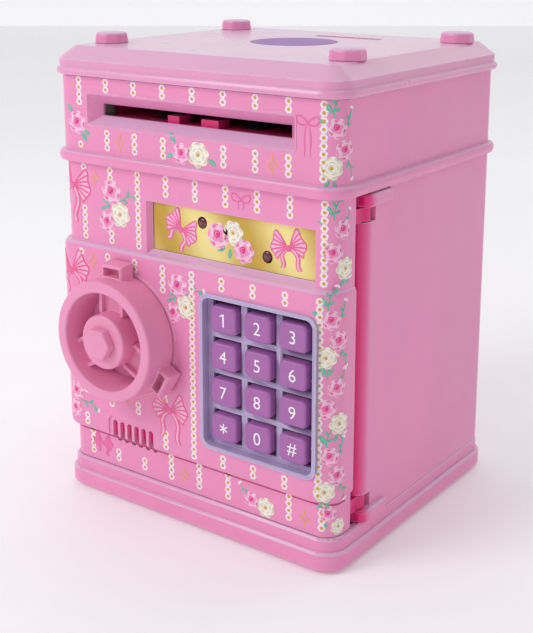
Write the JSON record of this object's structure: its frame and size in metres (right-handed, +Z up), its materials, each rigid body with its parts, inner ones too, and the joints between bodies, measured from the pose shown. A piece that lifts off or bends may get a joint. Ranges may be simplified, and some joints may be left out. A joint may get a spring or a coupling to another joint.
{
  "type": "toy safe coin bank",
  "caption": "Toy safe coin bank: boxy body with keypad door, wheel knob and latch bolt, motor-fed note slot, lid with coin slot and corner bolts.",
  "frame": {"origin": "middle of the bounding box's footprint, on the plane that the feet stand on", "axes": "+Z up; -Y the front, where the door, keypad and knob are; +X to the right seen from the front, the hinge side"},
  "size_m": [0.1346, 0.1382, 0.1849],
  "materials": {
    "shell_pink": "smooth satin moulded ABS",
    "lid_pink": "satin moulded ABS",
    "knob_pink": "satin moulded ABS",
    "mechanism_pink": "moulded",
    "key_purple": "satin, with printed white digits",
    "keypad_lavender": "satin moulded",
    "label_purple": "printed paper label",
    "gold_foil": "gold foil print on a plastic plate",
    "led_lens": "tinted lens",
    "bright_steel": "plated",
    "black_rubber": "moulded",
    "circuit_board": "solder mask",
    "white_nylon": "moulded",
    "silicone": "moulded"
  },
  "bodies": {
    "housing": {"base_plinth": "shell_pink", "foot_front_left": "black_rubber", "foot_front_right": "black_rubber", "foot_rear_left": "black_rubber", "foot_rear_right": "black_rubber", "battery_cover": "shell_pink", "battery_cover_screw": "bright_steel", "battery_contact_front": "bright_steel", "battery_contact_rear": "bright_steel", "lower_housing": "shell_pink", "hinge_pin_upper": "bright_steel", "hinge_pin_lower": "bright_steel", "upper_housing": "shell_pink", "note_slot_bezel": "lid_pink", "lid": "lid_pink", "lid_label": "label_purple", "lid_bolt_front_left": "shell_pink", "lid_bolt_front_right": "shell_pink", "lid_bolt_rear_left": "shell_pink", "lid_bolt_rear_right": "shell_pink", "mechanism_shelf": "mechanism_pink", "note_guide": "mechanism_pink", "feed_motor": "bright_steel", "coin_chute": "mechanism_pink"},
    "door": {"door_shell": "shell_pink", "door_cover": "shell_pink", "cover_screw_1": "bright_steel", "cover_screw_2": "bright_steel", "cover_screw_3": "bright_steel", "cover_screw_4": "bright_steel", "keypad_frame": "keypad_lavender", "keypad_membrane": "silicone", "control_board": "circuit_board", "status_panel": "gold_foil", "status_led_upper": "led_lens", "status_led_lower": "led_lens", "speaker": "black_rubber", "lock_solenoid": "bright_steel"},
    "knob": {"knob_wheel": "knob_pink", "knob_cap": "knob_pink", "knob_spindle": "white_nylon"},
    "latch": {"latch_bolt": "white_nylon"},
    "feed_rollers": {"feed_shaft": "bright_steel", "feed_roller_left": "black_rubber", "feed_roller_right": "black_rubber", "feed_gear": "white_nylon"},
    "motor_rotor": {"motor_pinion": "white_nylon"},
    "key_1_button": {"key_1": "key_purple"},
    "key_2_button": {"key_2": "key_purple"},
    "key_3_button": {"key_3": "key_purple"},
    "key_4_button": {"key_4": "key_purple"},
    "key_5_button": {"key_5": "key_purple"},
    "key_6_button": {"key_6": "key_purple"},
    "key_7_button": {"key_7": "key_purple"},
    "key_8_button": {"key_8": "key_purple"},
    "key_9_button": {"key_9": "key_purple"},
    "key_star_button": {"key_star": "key_purple"},
    "key_0_button": {"key_0": "key_purple"},
    "key_hash_button": {"key_hash": "key_purple"}
  },
  "joints": [
    {"name": "door_hinge", "type": "hinge", "parent": "housing", "child": "door", "pos_m": [0.0618, -0.0297, 0.075], "axis": [0, 0, 1], "range_deg": [0, 100]},
    {"name": "knob_turn", "type": "hinge", "parent": "door", "child": "knob", "pos_m": [-0.0294, -0.0532, 0.0723], "axis": [0, -1, 0], "range_deg": [0, 90]},
    {"name": "latch_slide", "type": "slide", "parent": "door", "child": "latch", "axis": [-1, 0, 0], "range_m": [0, 0.0071]},
    {"name": "feed_turn", "type": "hinge", "parent": "housing", "child": "feed_rollers", "pos_m": [0, -0.0306, 0.1512], "axis": [1, 0, 0], "continuous": true},
    {"name": "motor_turn", "type": "hinge", "parent": "housing", "child": "motor_rotor", "pos_m": [-0.05, -0.02364, 0.16566], "axis": [1, 0, 0], "continuous": true},
    {"name": "key_1_press", "type": "slide", "parent": "door", "child": "key_1_button", "axis": [0, 1, 0], "range_m": [0, 0.0015], "stiffness_N_per_m": 300},
    {"name": "key_2_press", "type": "slide", "parent": "door", "child": "key_2_button", "axis": [0, 1, 0], "range_m": [0, 0.0015], "stiffness_N_per_m": 300},
    {"name": "key_3_press", "type": "slide", "parent": "door", "child": "key_3_button", "axis": [0, 1, 0], "range_m": [0, 0.0015], "stiffness_N_per_m": 300},
    {"name": "key_4_press", "type": "slide", "parent": "door", "child": "key_4_button", "axis": [0, 1, 0], "range_m": [0, 0.0015], "stiffness_N_per_m": 300},
    {"name": "key_5_press", "type": "slide", "parent": "door", "child": "key_5_button", "axis": [0, 1, 0], "range_m": [0, 0.0015], "stiffness_N_per_m": 300},
    {"name": "key_6_press", "type": "slide", "parent": "door", "child": "key_6_button", "axis": [0, 1, 0], "range_m": [0, 0.0015], "stiffness_N_per_m": 300},
    {"name": "key_7_press", "type": "slide", "parent": "door", "child": "key_7_button", "axis": [0, 1, 0], "range_m": [0, 0.0015], "stiffness_N_per_m": 300},
    {"name": "key_8_press", "type": "slide", "parent": "door", "child": "key_8_button", "axis": [0, 1, 0], "range_m": [0, 0.0015], "stiffness_N_per_m": 300},
    {"name": "key_9_press", "type": "slide", "parent": "door", "child": "key_9_button", "axis": [0, 1, 0], "range_m": [0, 0.0015], "stiffness_N_per_m": 300},
    {"name": "key_star_press", "type": "slide", "parent": "door", "child": "key_star_button", "axis": [0, 1, 0], "range_m": [0, 0.0015], "stiffness_N_per_m": 300},
    {"name": "key_0_press", "type": "slide", "parent": "door", "child": "key_0_button", "axis": [0, 1, 0], "range_m": [0, 0.0015], "stiffness_N_per_m": 300},
    {"name": "key_hash_press", "type": "slide", "parent": "door", "child": "key_hash_button", "axis": [0, 1, 0], "range_m": [0, 0.0015], "stiffness_N_per_m": 300}
  ],
  "couplings": [
    {"joint": "latch_slide", "follows": "knob_turn", "m_per_rad": 0.0045},
    {"joint": "motor_turn", "follows": "feed_turn", "ratio": -2}
  ]
}
